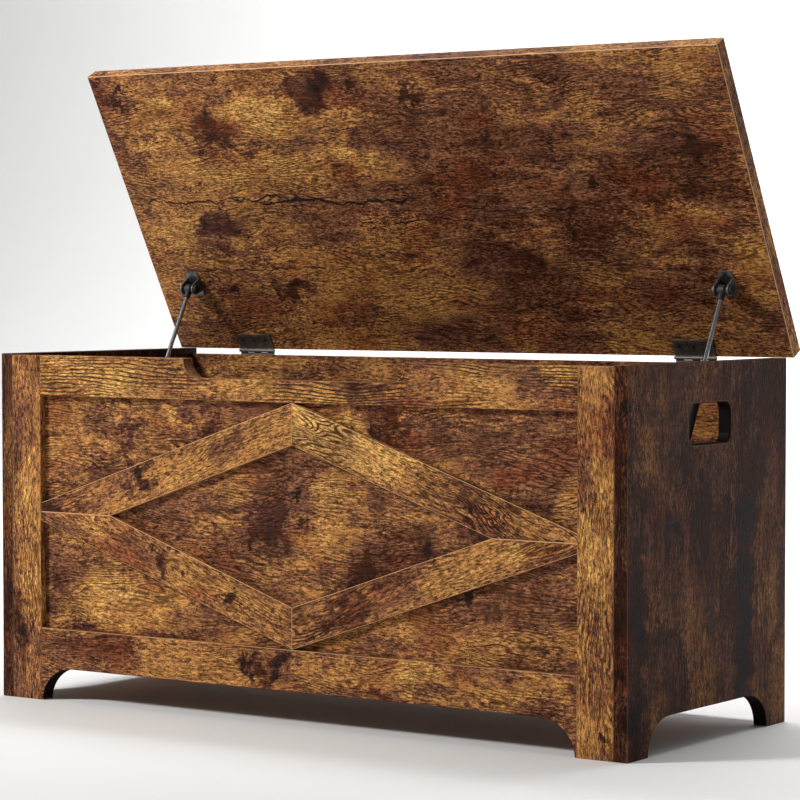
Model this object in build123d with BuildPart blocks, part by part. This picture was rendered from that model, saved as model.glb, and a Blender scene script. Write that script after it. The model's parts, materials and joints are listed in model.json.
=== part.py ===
from build123d import *
import math
import os

# A wooden toy box with a hinged lid, all sizes in millimetres.
#
# +Z is up, -Y is the front and +X is the right-hand side as seen from the front.
# The origin is on the floor, in the middle of the space that the box takes up with its
# lid open. The lid is modelled open, at the angle where its two stays hold it.

# ---------------------------------------------------------------- driving dimensions

# Overall size of the box without its lid
body_width = 980.0
body_depth = 396.0
side_height = 465.0

# Boards
side_thickness = 19.0
front_thickness = 20.0
back_thickness = 15.0
floor_thickness = 15.0
edge_break = 0.6

# Feet: the sides and the front have an arch between their feet
arch_height = 44.5
arch_reach = 52.0
side_foot_width = 49.0
front_foot_step = 3.0

# Front frame, with its recessed panel
stile_width = 50.0
top_rail_height = 53.4
bottom_rail_height = 53.0
frame_drop = 2.0
panel_recess = 10.0
panel_thickness = 9.0
groove_depth = 8.0
groove_play = 0.2

# Finger notch in the top rail
notch_width = 348.0
notch_depth = 25.5
notch_radius = 25.0

# Diamond of four battens on the front panel
batten_width = 50.5
batten_thickness = 9.0
diamond_end_half = 11.8

# Hand holes in the sides
hand_hole_width = 102.0
hand_hole_height = 49.0
hand_hole_radius = 12.0
hand_hole_centre_height = 389.7
hand_hole_round = 4.0

# Back and floor
back_drop = 8.0
floor_height = 60.0
floor_batten_width = 60.0
floor_batten_thickness = 15.0

# Lid
lid_side_overhang = 10.5
lid_front_overhang = 42.0
lid_back_inset = 2.0
lid_thickness = 20.0
lid_gap = 0.5
lid_edge_break = 0.9
lid_open_angle = 61.6

# Butt hinges between the back and the lid
hinge_length = 60.0
hinge_offset = 359.0
hinge_knuckles = 5
knuckle_radius = 2.5
knuckle_gap = 0.3
leaf_thickness = 1.2
leaf_reach = 25.0
leaf_to_knuckle = 0.3
hinge_pin_radius = 1.25
hinge_pin_play = 0.05
hinge_pin_head = 1.0
leaf_screw_share = 0.62

# Gas stays between the sides and the lid
stay_inset = 38.5
stay_lid_distance = 107.5
stay_lid_standoff = 16.0
stay_lean = 27.6
stay_length = 290.0
stay_cylinder_radius = 7.5
stay_cylinder_bore = 6.0
stay_cylinder_length = 147.0
stay_cylinder_wall = 4.0
stay_rod_radius = 3.0
stay_rod_length = 150.0
stay_eye_radius = 7.0
stay_eye_reach = 14.0
stay_eye_width = 9.0
stay_neck_radius = 4.4
stay_pin_radius = 3.0
stay_play = 0.05
gland_length = 8.0
gland_proud = 2.5
piston_length = 9.0
eye_neck_short = 1.5

# Stay brackets
bracket_thickness = 2.0
bracket_clearance = 0.3
clevis_gap = 18.0
clevis_ear_radius = 8.0
clevis_ear_base = 19.2
clevis_plate_length = 38.0
clevis_screw_inset = 5.0
pivot_head_radius = 6.0
pivot_head_thickness = 4.0
side_bracket_width = 30.0
side_bracket_rise = 34.0
side_bracket_drop = 16.0
side_bracket_screw_drops = (8.0, 22.0)
side_ear_radius = 9.0
pin_head_radius = 5.0
pin_head_thickness = 2.0

# Countersunk wood screws
screw_radius = 1.6
screw_head_radius = 3.1
screw_head_angle = 105.0
screw_length = 12.0
screw_play = 0.1
floor_screw_length = 22.0
floor_screw_share = 0.36
batten_screw_shares = (0.22, 0.68)
cross_slot_width = 0.8
cross_slot_length = 3.6
cross_slot_depth = 0.8

# Cam locks, their bolts, and dowels
cam_radius = 7.5
cam_depth = 12.5
cam_axis_depth = 8.0
cam_distance = 24.0
cam_play = 0.1
bolt_thread_radius = 2.5
bolt_thread_length = 11.0
bolt_shank_radius = 3.0
bolt_neck_radius = 2.0
bolt_head_radius = 3.2
bolt_head_length = 3.0
bolt_head_past_cam = 1.0
bolt_hole_radius = 3.7
dowel_radius = 4.0
dowel_length = 30.0
dowel_play = 0.1
dowel_in_side = 10.0
dowel_in_wall = 8.0
floor_dowel_share = 0.64

# Where the cam bolts and dowels sit: how far in from the low or front edge of the board
# that they hold, and how far in from its high or back edge
front_bolt_insets = (65.0, 63.4)
front_dowel_insets = (30.0, 25.0)
back_bolt_insets = (45.0, 57.0)
back_dowel_insets = (10.0, 27.0)
floor_bolt_insets = (70.0, 70.0)
floor_dowel_insets = (30.0, 30.0)
bottom_rail_dowel_insets = (13.0, 20.0)
top_rail_dowel_insets = (19.0, 13.4)

# A cut or a join runs this far past the face that it has to reach
overrun = 1.0

# ---------------------------------------------------------------- places worked out

open_angle = math.radians(lid_open_angle)
side_inner_x = body_width / 2 - side_thickness
side_outer_x = body_width / 2

# The hinge line, first from the body's front and floor
hinge_to_lid = knuckle_radius + leaf_to_knuckle
hinge_behind = knuckle_radius - leaf_thickness
hinge_from_front = body_depth - hinge_behind
hinge_z = side_height + lid_gap - hinge_to_lid

# How far the open lid reaches behind the body
lid_back_edge = hinge_behind - lid_back_inset
lid_reach_behind = (
    lid_back_edge * math.cos(open_angle)
    + (hinge_to_lid + lid_thickness) * math.sin(open_angle)
    - hinge_behind
)

front_y = -(body_depth + lid_reach_behind) / 2
back_y = front_y + body_depth
hinge_y = front_y + hinge_from_front
front_inner_y = front_y + front_thickness
back_inner_y = back_y - back_thickness

frame_top = side_height - frame_drop
stile_inner_x = side_inner_x - stile_width
panel_low = arch_height + bottom_rail_height
panel_high = frame_top - top_rail_height
panel_middle = (panel_low + panel_high) / 2
panel_face_y = front_y + panel_recess
back_top = side_height - back_drop
floor_top = floor_height + floor_thickness

lid_width = body_width + 2 * lid_side_overhang
lid_depth = body_depth + lid_front_overhang - lid_back_inset

# Planes: each sketch plane's second axis is upright, or runs towards the back
front_face = Plane(origin=(0, front_y, 0), x_dir=(1, 0, 0), z_dir=(0, -1, 0))
right_face = Plane(origin=(side_outer_x, 0, 0), x_dir=(0, 1, 0), z_dir=(1, 0, 0))

# The lid's own frame: its origin is on the hinge line, and with the lid shut its axes are
# the box's axes.
lid_frame = Plane(
    origin=(0, hinge_y, hinge_z),
    x_dir=(1, 0, 0),
    z_dir=(0, math.sin(open_angle), math.cos(open_angle)),
)


def lid_upright(x):
    """A plane across the lid at x: its axes are the lid's Y and Z, and its normal is +X."""
    return Plane(
        origin=lid_frame.from_local_coords((x, 0, 0)),
        x_dir=(0, math.cos(open_angle), -math.sin(open_angle)),
        z_dir=(1, 0, 0),
    )


# Stay pivots: one on the lid, and one on the side, at the stay's open length
stay_x = side_inner_x - stay_inset
lid_pivot_down = hinge_to_lid - stay_lid_standoff
lid_pivot = lid_frame.from_local_coords((stay_x, -stay_lid_distance, lid_pivot_down))
stay_slope = math.radians(stay_lean)
stay_direction = Vector(0, math.sin(stay_slope), math.cos(stay_slope))
side_pivot = lid_pivot - stay_direction * stay_length
stay_frame = Plane(origin=side_pivot, x_dir=(1, 0, 0), z_dir=stay_direction)


def stay_upright(x, along=0.0):
    """A plane across the stay at x: its first axis runs up the stay, its normal is -X."""
    origin = side_pivot + stay_direction * along
    return Plane(origin=(x, origin.Y, origin.Z), x_dir=stay_direction, z_dir=(-1, 0, 0))


# ---------------------------------------------------------------- helpers

os.makedirs("parts", exist_ok=True)


def write(piece, name):
    """Label a finished piece and write it."""
    piece.part.label = name
    export_step(piece.part, f"parts/{name}.step")


def write_both_sides(right_piece, name):
    """Write a piece of the right-hand side, and its mirror image for the left."""
    write(right_piece, f"right_{name}")
    with BuildPart() as left_piece:
        mirror(right_piece.part, about=Plane.YZ)
    write(left_piece, f"left_{name}")


def drill(face, points, radius, depth):
    """Drill blind holes in the open piece, straight in from points on a face."""
    with BuildSketch(face) as holes:
        with Locations(*points):
            Circle(radius)
    extrude(holes.sketch, amount=-depth, mode=Mode.SUBTRACT)


def countersunk(face, points, depth):
    """Countersunk screw holes through the open piece, in from points on a face."""
    with Locations(face):
        with Locations(*points):
            CounterSinkHole(
                radius=screw_radius + screw_play,
                counter_sink_radius=screw_head_radius + screw_play,
                depth=depth,
                counter_sink_angle=screw_head_angle,
            )


def group(piece, places):
    """Copies of one fastener, as separate solids, one at each place."""
    with BuildPart() as copies:
        for place in places:
            add(place.location * piece.part)
    return copies


def facing(point, direction):
    """A place for a fastener: its origin, with +Z the way that its head faces."""
    return Plane(origin=point, z_dir=direction)


def both_sides(points):
    """Points on the right with their mirror images on the left."""
    return [(sign * x, y, z) for sign in (-1, 1) for x, y, z in points]


# ---------------------------------------------------------------- joints between boards

# Heights and depths of the cam bolts and dowels that hold each board to the sides
front_line_y = front_inner_y - cam_axis_depth
back_line_y = back_inner_y + cam_axis_depth
floor_line_z = floor_height + cam_axis_depth


def between(low, high, insets):
    """Two places on a line from low to high, each set in from its own end."""
    return (low + insets[0], high - insets[1])


front_bolt_heights = between(arch_height, frame_top, front_bolt_insets)
front_dowel_heights = between(arch_height, frame_top, front_dowel_insets)
back_bolt_heights = between(floor_top, back_top, back_bolt_insets)
back_dowel_heights = between(floor_top, back_top, back_dowel_insets)
floor_bolt_depths = between(front_inner_y, back_inner_y, floor_bolt_insets)
floor_dowel_depths = between(front_inner_y, back_inner_y, floor_dowel_insets)

side_bolt_points = (
    [(front_line_y, z) for z in front_bolt_heights]
    + [(back_line_y, z) for z in back_bolt_heights]
    + [(y, floor_line_z) for y in floor_bolt_depths]
)
side_dowel_points = (
    [(front_line_y, z) for z in front_dowel_heights]
    + [(back_line_y, z) for z in back_dowel_heights]
    + [(y, floor_line_z) for y in floor_dowel_depths]
)
side_inner_face = Plane(origin=(side_inner_x, 0, 0), x_dir=(0, 1, 0), z_dir=(-1, 0, 0))


def on_side_inner(points):
    """Points (y, z) on the side's inner face, whose second axis points down."""
    return [(y, -z) for y, z in points]


# Dowels between the rails and the stiles, and between the floor and the walls
bottom_rail_dowel_heights = between(arch_height, panel_low, bottom_rail_dowel_insets)
top_rail_dowel_heights = between(panel_high, frame_top, top_rail_dowel_insets)
frame_dowel_heights = bottom_rail_dowel_heights + top_rail_dowel_heights
frame_dowel_y = front_y + front_thickness / 2
floor_dowel_x = side_inner_x * floor_dowel_share
floor_wall_dowels_x = (-floor_dowel_x, 0.0, floor_dowel_x)
floor_middle_z = floor_height + floor_thickness / 2

stile_end = Plane(origin=(side_inner_x, 0, 0), x_dir=(0, 1, 0), z_dir=(1, 0, 0))
stile_inner_edge = Plane(origin=(stile_inner_x, 0, 0), x_dir=(0, 1, 0), z_dir=(-1, 0, 0))
front_inner_face = Plane(origin=(0, front_inner_y, 0), x_dir=(1, 0, 0), z_dir=(0, 1, 0))
back_inner_face = Plane(origin=(0, back_inner_y, 0), x_dir=(1, 0, 0), z_dir=(0, -1, 0))
floor_underside = Plane(origin=(0, 0, floor_height), x_dir=(1, 0, 0), z_dir=(0, 0, -1))
cam_x = side_inner_x - cam_distance


def cam_pockets(face, points):
    """The round pockets for cam locks, in from a board's face."""
    drill(face, points, cam_radius + cam_play, cam_depth + cam_play)


def end_holes(face, bolt_points, dowel_points):
    """The holes in a board's end for the cam bolts and for the dowels."""
    drill(face, bolt_points, bolt_hole_radius, cam_distance)
    drill(face, dowel_points, dowel_radius + dowel_play, dowel_length - dowel_in_side)


# ---------------------------------------------------------------- side panels

body_middle_y = front_y + body_depth / 2
side_bracket_top = side_pivot.Z - side_bracket_drop + side_bracket_rise
side_bracket_screw_points = [
    (side_pivot.Y - side_bracket_width / 4, side_bracket_top - side_bracket_screw_drops[0]),
    (side_pivot.Y + side_bracket_width / 4, side_bracket_top - side_bracket_screw_drops[0]),
    (side_pivot.Y, side_bracket_top - side_bracket_screw_drops[1]),
]


def is_hand_hole_rim(edge):
    """Whether an edge of the side panel is part of the hand hole's outer or inner rim."""
    middle = edge.center()
    across = abs(middle.Y - body_middle_y)
    up = abs(middle.Z - hand_hole_centre_height)
    on_face = abs(middle.X - side_inner_x) < edge_break or abs(middle.X - side_outer_x) < edge_break
    in_hole = across <= hand_hole_width / 2 + overrun and up <= hand_hole_height / 2 + overrun
    return in_hole and on_face


with BuildPart() as side_panel:
    with BuildSketch(right_face):
        with Locations((body_middle_y, side_height / 2)):
            Rectangle(body_depth, side_height)
        arch_half = body_depth / 2 - side_foot_width - arch_reach
        with Locations((body_middle_y, arch_height / 2)):
            Rectangle(2 * arch_half, arch_height, mode=Mode.SUBTRACT)
        for sign in (-1, 1):
            with Locations((body_middle_y + sign * arch_half, 0)):
                Ellipse(arch_reach, arch_height, mode=Mode.SUBTRACT)
    extrude(amount=-side_thickness)
    chamfer(side_panel.edges(), edge_break)
    with BuildSketch(right_face):
        with Locations((body_middle_y, hand_hole_centre_height)):
            RectangleRounded(hand_hole_width, hand_hole_height, hand_hole_radius)
    extrude(amount=-side_thickness, mode=Mode.SUBTRACT)
    fillet(side_panel.edges().filter_by(is_hand_hole_rim), hand_hole_round)
    drill(
        side_inner_face,
        on_side_inner(side_bolt_points),
        bolt_thread_radius + cam_play,
        bolt_thread_length + cam_play,
    )
    drill(
        side_inner_face,
        on_side_inner(side_dowel_points),
        dowel_radius + dowel_play,
        dowel_in_side + dowel_play,
    )
    drill(
        side_inner_face,
        on_side_inner(side_bracket_screw_points),
        screw_radius + screw_play,
        screw_length,
    )
write_both_sides(side_panel, "side_panel")

# ---------------------------------------------------------------- front frame

panel_edge_low = panel_low - groove_depth
panel_edge_high = panel_high + groove_depth
panel_edge_x = stile_inner_x + groove_depth


def panel_groove():
    """The groove that holds the front panel, cut from the open rail or stile."""
    with BuildSketch(front_face.offset(-panel_recess + groove_play / 2)) as groove:
        with Locations((0, panel_middle)):
            Rectangle(
                2 * panel_edge_x + groove_play,
                panel_edge_high - panel_edge_low + groove_play,
            )
    extrude(groove.sketch, amount=-(panel_thickness + groove_play), mode=Mode.SUBTRACT)


with BuildPart() as front_stile:
    with BuildSketch(front_face):
        with Locations((stile_inner_x + stile_width / 2, frame_top / 2)):
            Rectangle(stile_width, frame_top)
    extrude(amount=-front_thickness)
    chamfer(front_stile.edges(), edge_break)
    panel_groove()
    cam_pockets(front_inner_face, [(cam_x, -z) for z in front_bolt_heights])
    end_holes(
        stile_end,
        [(front_line_y, z) for z in front_bolt_heights],
        [(front_line_y, z) for z in front_dowel_heights],
    )
    drill(
        stile_inner_edge,
        [(frame_dowel_y, -z) for z in frame_dowel_heights],
        dowel_radius + dowel_play,
        dowel_length / 2,
    )
write_both_sides(front_stile, "front_stile")


def rail_dowel_holes(heights):
    """Dowel holes in both ends of the open rail."""
    for sign in (-1, 1):
        end = Plane(origin=(sign * stile_inner_x, 0, 0), x_dir=(0, sign, 0), z_dir=(sign, 0, 0))
        drill(
            end,
            [(sign * frame_dowel_y, z) for z in heights],
            dowel_radius + dowel_play,
            dowel_length / 2,
        )


with BuildPart() as front_top_rail:
    with BuildSketch(front_face):
        with Locations((0, (panel_high + frame_top) / 2)):
            Rectangle(2 * stile_inner_x, top_rail_height)
        with Locations((0, frame_top)):
            corner = min(notch_radius, notch_depth - 3 * edge_break)
            RectangleRounded(notch_width, 2 * notch_depth, corner, mode=Mode.SUBTRACT)
    extrude(amount=-front_thickness)
    chamfer(front_top_rail.edges(), edge_break)
    panel_groove()
    rail_dowel_holes(top_rail_dowel_heights)
write(front_top_rail, "front_top_rail")

with BuildPart() as front_bottom_rail:
    with BuildSketch(front_face):
        with Locations((0, panel_low / 2)):
            Rectangle(2 * stile_inner_x, panel_low)
        front_arch_half = stile_inner_x - front_foot_step - arch_reach
        with Locations((0, arch_height / 2)):
            Rectangle(2 * front_arch_half, arch_height, mode=Mode.SUBTRACT)
        for sign in (-1, 1):
            with Locations((sign * front_arch_half, 0)):
                Ellipse(arch_reach, arch_height, mode=Mode.SUBTRACT)
    extrude(amount=-front_thickness)
    chamfer(front_bottom_rail.edges(), edge_break)
    panel_groove()
    rail_dowel_holes(bottom_rail_dowel_heights)
    drill(
        front_inner_face,
        [(x, -floor_middle_z) for x in floor_wall_dowels_x],
        dowel_radius + dowel_play,
        dowel_in_wall,
    )
write(front_bottom_rail, "front_bottom_rail")

# ---------------------------------------------------------------- diamond battens

diamond_top = panel_high - panel_middle
diamond_slope = math.atan((diamond_top - diamond_end_half) / stile_inner_x)
diamond_inner_top = diamond_top - batten_width / math.cos(diamond_slope)
diamond_inner_end = diamond_inner_top / math.tan(diamond_slope)

# The screws that hold a batten sit on its centre line, a little in from its ends
batten_screw_xs = tuple(share * stile_inner_x for share in batten_screw_shares)


def batten_centre_height(x):
    """Height of a batten's centre line above the diamond's middle, at distance x."""
    return (diamond_top + diamond_inner_top) / 2 - x * math.tan(diamond_slope)


batten_screw_points = [(x, batten_centre_height(x)) for x in batten_screw_xs]
batten_back = Plane(origin=(0, panel_face_y, 0), x_dir=(1, 0, 0), z_dir=(0, 1, 0))


def batten(side, up):
    """One batten of the diamond: side is -1 or 1 in X, and up is -1 or 1 in Z."""
    corners = [
        (0, diamond_top),
        (stile_inner_x, diamond_end_half),
        (stile_inner_x, 0),
        (diamond_inner_end, 0),
        (0, diamond_inner_top),
    ]
    with BuildPart() as piece:
        with BuildSketch(front_face.offset(-panel_recess)):
            with BuildLine():
                Polyline(*[(side * x, panel_middle + up * z) for x, z in corners], close=True)
            make_face()
        extrude(amount=batten_thickness)
        chamfer(piece.edges(), edge_break)
        drill(
            batten_back,
            [(side * x, -(panel_middle + up * z)) for x, z in batten_screw_points],
            screw_radius + screw_play,
            screw_length - panel_thickness + screw_play,
        )
    return piece


batten_names = {
    (-1, 1): "upper_left_batten",
    (1, 1): "upper_right_batten",
    (-1, -1): "lower_left_batten",
    (1, -1): "lower_right_batten",
}
for (side, up), name in batten_names.items():
    write(batten(side, up), name)

# ---------------------------------------------------------------- front panel

all_batten_screws = [
    (side * x, panel_middle + up * z) for side, up in batten_names for x, z in batten_screw_points
]
panel_back_y = panel_face_y + panel_thickness
panel_back = Plane(origin=(0, panel_back_y, 0), x_dir=(1, 0, 0), z_dir=(0, 1, 0))

with BuildPart() as front_panel:
    with BuildSketch(front_face.offset(-panel_recess)):
        with Locations((0, panel_middle)):
            Rectangle(2 * panel_edge_x, panel_edge_high - panel_edge_low)
    extrude(amount=-panel_thickness)
    countersunk(panel_back, [(x, -z) for x, z in all_batten_screws], panel_thickness)
write(front_panel, "front_panel")

# ---------------------------------------------------------------- back panel and floor

hinge_screw_xs = (-hinge_length / 3, 0.0, hinge_length / 3)
hinge_screw_reach = leaf_reach * leaf_screw_share
hinge_xs = (-hinge_offset, hinge_offset)
back_screw_points = [
    (centre + x, hinge_z - hinge_screw_reach) for centre in hinge_xs for x in hinge_screw_xs
]
back_outer_face = Plane(origin=(0, back_y, 0), x_dir=(1, 0, 0), z_dir=(0, 1, 0))

with BuildPart() as back_panel:
    with BuildSketch(back_outer_face):
        with Locations((0, -(arch_height + back_top) / 2)):
            Rectangle(2 * side_inner_x, back_top - arch_height)
    extrude(amount=-back_thickness)
    chamfer(back_panel.edges(), edge_break)
    for sign in (-1, 1):
        cam_pockets(back_inner_face, [(sign * cam_x, z) for z in back_bolt_heights])
        end_holes(
            Plane(origin=(sign * side_inner_x, 0, 0), x_dir=(0, sign, 0), z_dir=(sign, 0, 0)),
            [(sign * back_line_y, z) for z in back_bolt_heights],
            [(sign * back_line_y, z) for z in back_dowel_heights],
        )
    drill(
        back_inner_face,
        [(x, floor_middle_z) for x in floor_wall_dowels_x],
        dowel_radius + dowel_play,
        dowel_in_wall,
    )
    drill(
        back_outer_face,
        [(x, -z) for x, z in back_screw_points],
        screw_radius + screw_play,
        screw_length,
    )
write(back_panel, "back_panel")

floor_depth = back_inner_y - front_inner_y
floor_middle_y = (front_inner_y + back_inner_y) / 2
floor_screw_step = floor_depth * floor_screw_share
floor_screw_ys = tuple(floor_middle_y + step * floor_screw_step for step in (-1, 0, 1))

with BuildPart() as floor_panel:
    with BuildSketch(floor_underside):
        with Locations((0, -floor_middle_y)):
            Rectangle(2 * side_inner_x, floor_depth)
    extrude(amount=-floor_thickness)
    chamfer(floor_panel.edges(), edge_break)
    for sign in (-1, 1):
        cam_pockets(floor_underside, [(sign * cam_x, -y) for y in floor_bolt_depths])
        end_holes(
            Plane(origin=(sign * side_inner_x, 0, 0), x_dir=(0, sign, 0), z_dir=(sign, 0, 0)),
            [(sign * y, floor_line_z) for y in floor_bolt_depths],
            [(sign * y, floor_line_z) for y in floor_dowel_depths],
        )
    for wall_y, out in ((front_inner_y, -1), (back_inner_y, 1)):
        drill(
            Plane(origin=(0, wall_y, 0), x_dir=(-out, 0, 0), z_dir=(0, out, 0)),
            [(-out * x, floor_middle_z) for x in floor_wall_dowels_x],
            dowel_radius + dowel_play,
            dowel_length - dowel_in_wall,
        )
    drill(
        floor_underside,
        [(0, -y) for y in floor_screw_ys],
        screw_radius + screw_play,
        floor_screw_length - floor_batten_thickness + screw_play,
    )
write(floor_panel, "floor_panel")

floor_batten_under = floor_height - floor_batten_thickness
with BuildPart() as floor_batten:
    with BuildSketch(Plane.XY.offset(floor_batten_under)):
        with Locations((0, floor_middle_y)):
            Rectangle(floor_batten_width, floor_depth)
    extrude(amount=floor_batten_thickness)
    chamfer(floor_batten.edges(), edge_break)
    countersunk(
        floor_underside.offset(floor_batten_thickness),
        [(0, -y) for y in floor_screw_ys],
        floor_batten_thickness,
    )
write(floor_batten, "floor_batten")

# ---------------------------------------------------------------- lid board

lid_under = lid_frame.offset(hinge_to_lid)
lid_middle_y = lid_back_edge - lid_depth / 2
clevis_screw_along = clevis_plate_length / 2 - clevis_screw_inset
lid_clevis_screw_points = [
    (sign * stay_x, -stay_lid_distance + step * clevis_screw_along)
    for sign in (-1, 1)
    for step in (-1, 1)
]
lid_hinge_screw_points = [
    (centre + x, -hinge_screw_reach) for centre in hinge_xs for x in hinge_screw_xs
]
lid_under_face = Plane(origin=lid_under.origin, x_dir=(1, 0, 0), z_dir=-lid_under.z_dir)

with BuildPart() as lid_board:
    with BuildSketch(lid_under):
        with Locations((0, lid_middle_y)):
            Rectangle(lid_width, lid_depth)
    extrude(amount=lid_thickness)
    chamfer(lid_board.edges(), lid_edge_break)
    drill(
        lid_under_face,
        [(x, -y) for x, y in lid_clevis_screw_points + lid_hinge_screw_points],
        screw_radius + screw_play,
        screw_length,
    )
write(lid_board, "lid_board")

# ---------------------------------------------------------------- butt hinges

knuckle_length = hinge_length / hinge_knuckles
body_knuckles = range(0, hinge_knuckles, 2)
lid_knuckles = range(1, hinge_knuckles, 2)
leaf_near = knuckle_radius + knuckle_gap


def knuckle_plane(x):
    """A plane across the hinge line at x, with the box's Y and Z as its axes."""
    return Plane(origin=(x, hinge_y, hinge_z), x_dir=(0, 1, 0), z_dir=(1, 0, 0))


def knuckles(which, centre, plane_at, leaf_corners):
    """Knuckles on the hinge line, each with its strip of leaf."""
    for number in which:
        start = centre - hinge_length / 2 + number * knuckle_length + knuckle_gap / 2
        with BuildSketch(plane_at(start)) as outline:
            Circle(knuckle_radius)
            with BuildLine():
                Polyline(*leaf_corners, close=True)
            make_face()
        extrude(outline.sketch, amount=knuckle_length - knuckle_gap)


def hinge_bore(centre):
    """The bore through all knuckles of the open hinge leaf."""
    with BuildSketch(knuckle_plane(centre - hinge_length / 2 - overrun)) as bore:
        Circle(hinge_pin_radius + hinge_pin_play)
    extrude(bore.sketch, amount=hinge_length + 2 * overrun, mode=Mode.SUBTRACT)


for name, centre in zip(("left", "right"), hinge_xs):
    with BuildPart() as body_leaf:
        with BuildSketch(back_outer_face):
            with Locations((centre, -(hinge_z - (leaf_reach + leaf_near) / 2))):
                Rectangle(hinge_length, leaf_reach - leaf_near)
        extrude(amount=leaf_thickness)
        knuckles(
            body_knuckles,
            centre,
            knuckle_plane,
            [
                (hinge_behind, 0),
                (knuckle_radius, 0),
                (knuckle_radius, -leaf_near - overrun),
                (hinge_behind, -leaf_near - overrun),
            ],
        )
        hinge_bore(centre)
        countersunk(
            back_outer_face.offset(leaf_thickness),
            [(centre + x, -(hinge_z - hinge_screw_reach)) for x in hinge_screw_xs],
            leaf_thickness,
        )
    write(body_leaf, f"{name}_hinge_body_leaf")

    with BuildPart() as lid_leaf:
        with BuildSketch(lid_under.offset(-leaf_thickness)):
            with Locations((centre, -(leaf_reach + leaf_near) / 2)):
                Rectangle(hinge_length, leaf_reach - leaf_near)
        extrude(amount=leaf_thickness)
        knuckles(
            lid_knuckles,
            centre,
            lid_upright,
            [
                (0, hinge_to_lid),
                (0, hinge_to_lid - leaf_thickness),
                (-leaf_near - overrun, hinge_to_lid - leaf_thickness),
                (-leaf_near - overrun, hinge_to_lid),
            ],
        )
        hinge_bore(centre)
        countersunk(
            lid_under_face.offset(leaf_thickness),
            [(centre + x, hinge_screw_reach) for x in hinge_screw_xs],
            leaf_thickness,
        )
    write(lid_leaf, f"{name}_hinge_lid_leaf")

    with BuildPart() as hinge_pin:
        with BuildSketch(knuckle_plane(centre - hinge_length / 2)):
            Circle(hinge_pin_radius)
        extrude(amount=hinge_length)
        for sign in (-1, 1):
            with BuildSketch(knuckle_plane(centre + sign * hinge_length / 2)):
                Circle(knuckle_radius - knuckle_gap)
            extrude(amount=sign * hinge_pin_head)
    write(hinge_pin, f"{name}_hinge_pin")

# ---------------------------------------------------------------- gas stays

cylinder_start = stay_eye_reach
cylinder_end = cylinder_start + stay_cylinder_length
rod_end = stay_length - stay_eye_reach
rod_start = stay_length - stay_rod_length


def stay_eye(pivot_along, towards_middle):
    """The eye at one end of a stay, with the round neck that joins it to the stay."""
    with BuildPart() as eye:
        with BuildSketch(stay_upright(stay_x + stay_eye_width / 2, pivot_along)):
            Circle(stay_eye_radius)
        extrude(amount=stay_eye_width)
        chamfer(eye.edges(), edge_break)
        neck_foot = pivot_along + towards_middle * stay_eye_reach
        with BuildSketch(stay_frame.offset(neck_foot)):
            Circle(stay_neck_radius)
        extrude(amount=-towards_middle * (stay_eye_reach - stay_pin_radius - eye_neck_short))
        with BuildSketch(stay_upright(stay_x + stay_eye_radius, pivot_along)):
            Circle(stay_pin_radius + stay_play)
        extrude(amount=2 * stay_eye_radius, mode=Mode.SUBTRACT)
    return eye


write_both_sides(stay_eye(0, 1), "stay_cylinder_eye")
write_both_sides(stay_eye(stay_length, -1), "stay_rod_eye")

with BuildPart() as stay_cylinder:
    with BuildSketch(stay_frame.offset(cylinder_start)):
        Circle(stay_cylinder_radius)
    extrude(amount=stay_cylinder_length)
    chamfer(stay_cylinder.edges(), edge_break)
    with BuildSketch(stay_frame.offset(cylinder_start + stay_cylinder_wall)):
        Circle(stay_cylinder_bore)
    extrude(amount=stay_cylinder_length, mode=Mode.SUBTRACT)
write_both_sides(stay_cylinder, "stay_cylinder")

with BuildPart() as stay_gland:
    with BuildSketch(stay_frame.offset(cylinder_end - gland_length)):
        Circle(stay_cylinder_bore)
    extrude(amount=gland_length)
    with BuildSketch(stay_frame.offset(cylinder_end)):
        Circle(stay_cylinder_radius - edge_break)
    extrude(amount=gland_proud)
    with BuildSketch(stay_frame.offset(cylinder_end - gland_length)):
        Circle(stay_rod_radius + stay_play)
    extrude(amount=gland_length + gland_proud, mode=Mode.SUBTRACT)
write_both_sides(stay_gland, "stay_gland")

with BuildPart() as stay_rod:
    with BuildSketch(stay_frame.offset(rod_start)):
        Circle(stay_rod_radius)
    extrude(amount=rod_end - rod_start)
write_both_sides(stay_rod, "stay_rod")

with BuildPart() as stay_piston:
    with BuildSketch(stay_frame.offset(rod_start)):
        Circle(stay_cylinder_bore - stay_play)
        Circle(stay_rod_radius, mode=Mode.SUBTRACT)
    extrude(amount=piston_length)
write_both_sides(stay_piston, "stay_piston")

# The upper pivot pin stops just short of the clevis ears, which carry its two heads
with BuildPart() as stay_rod_pin:
    rod_pin_length = clevis_gap - 2 * bracket_clearance
    with BuildSketch(stay_upright(stay_x + rod_pin_length / 2, stay_length)):
        Circle(stay_pin_radius)
    extrude(amount=rod_pin_length)
write_both_sides(stay_rod_pin, "stay_rod_pin")

# ---------------------------------------------------------------- stay brackets

ear_near_x = stay_x + stay_eye_width / 2 + bracket_clearance
ear_far_x = ear_near_x + bracket_thickness


def side_upright(x):
    """A plane across the box at x, with Y and Z as its axes."""
    return Plane(origin=(x, side_pivot.Y, side_pivot.Z), x_dir=(0, 1, 0), z_dir=(1, 0, 0))


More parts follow.
